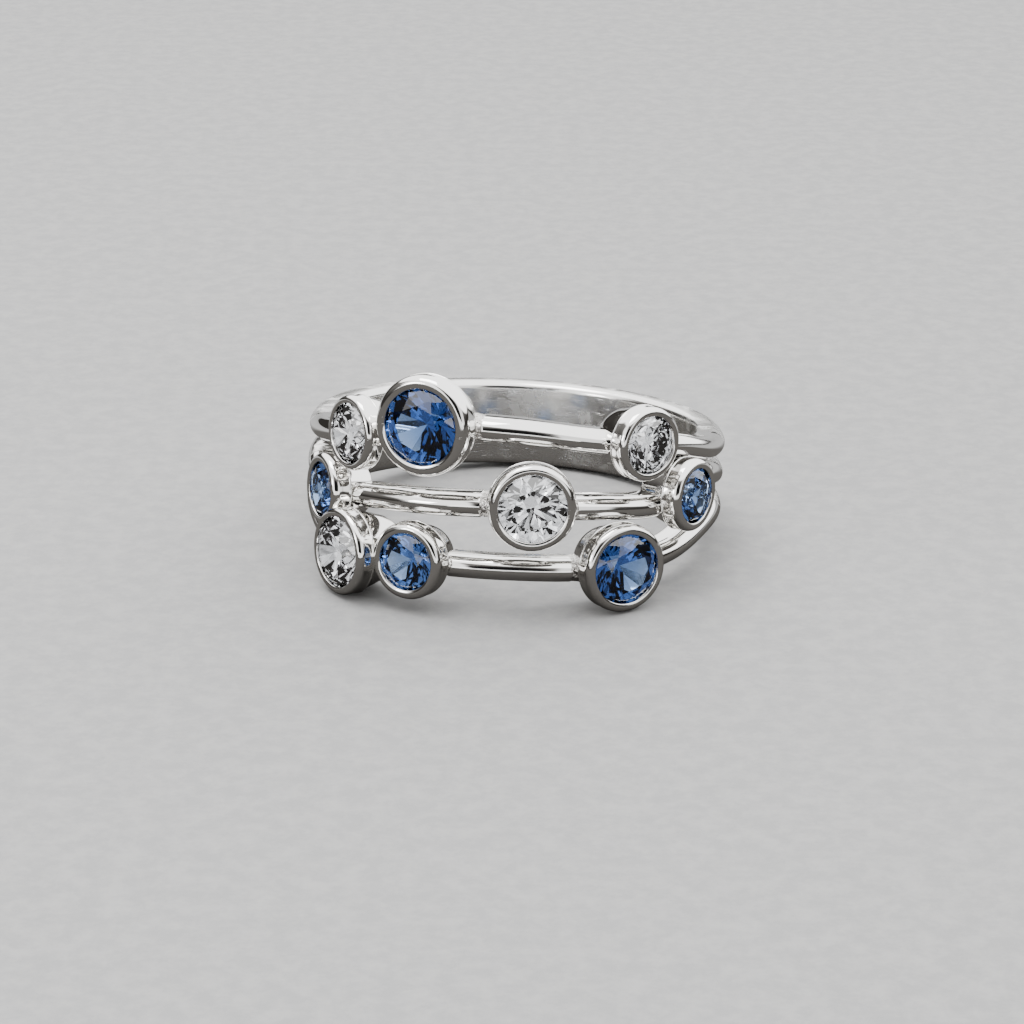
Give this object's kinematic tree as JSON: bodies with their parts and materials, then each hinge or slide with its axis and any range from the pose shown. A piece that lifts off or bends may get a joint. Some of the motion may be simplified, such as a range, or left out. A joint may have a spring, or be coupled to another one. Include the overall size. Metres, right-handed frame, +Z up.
{
  "type": "stackable ring",
  "caption": "Finger ring with three slim polished wire strands at the front, blue and clear round stones in cup settings, and one broad plain shank at the back.",
  "frame": {"origin": "middle of the ring's box, on the surface that it lies on", "axes": "+Z up from that surface, close to the finger hole's axis, +X to the wearer's view of the right, -Y towards the stones"},
  "size_m": [0.0202, 0.0216, 0.0112],
  "materials": {
    "white_metal": "polished",
    "blue_stone": "polished",
    "clear_stone": "polished"
  },
  "bodies": {
    "root": {"ring_metal": "white_metal", "clear_stone_top_left": "clear_stone", "blue_stone_top": "blue_stone", "clear_stone_top_right": "clear_stone", "blue_stone_middle_left": "blue_stone", "clear_stone_middle": "clear_stone", "blue_stone_middle_right": "blue_stone", "clear_stone_bottom_left": "clear_stone", "blue_stone_bottom_left": "blue_stone", "blue_stone_bottom_right": "blue_stone"}
  },
  "joints": []
}
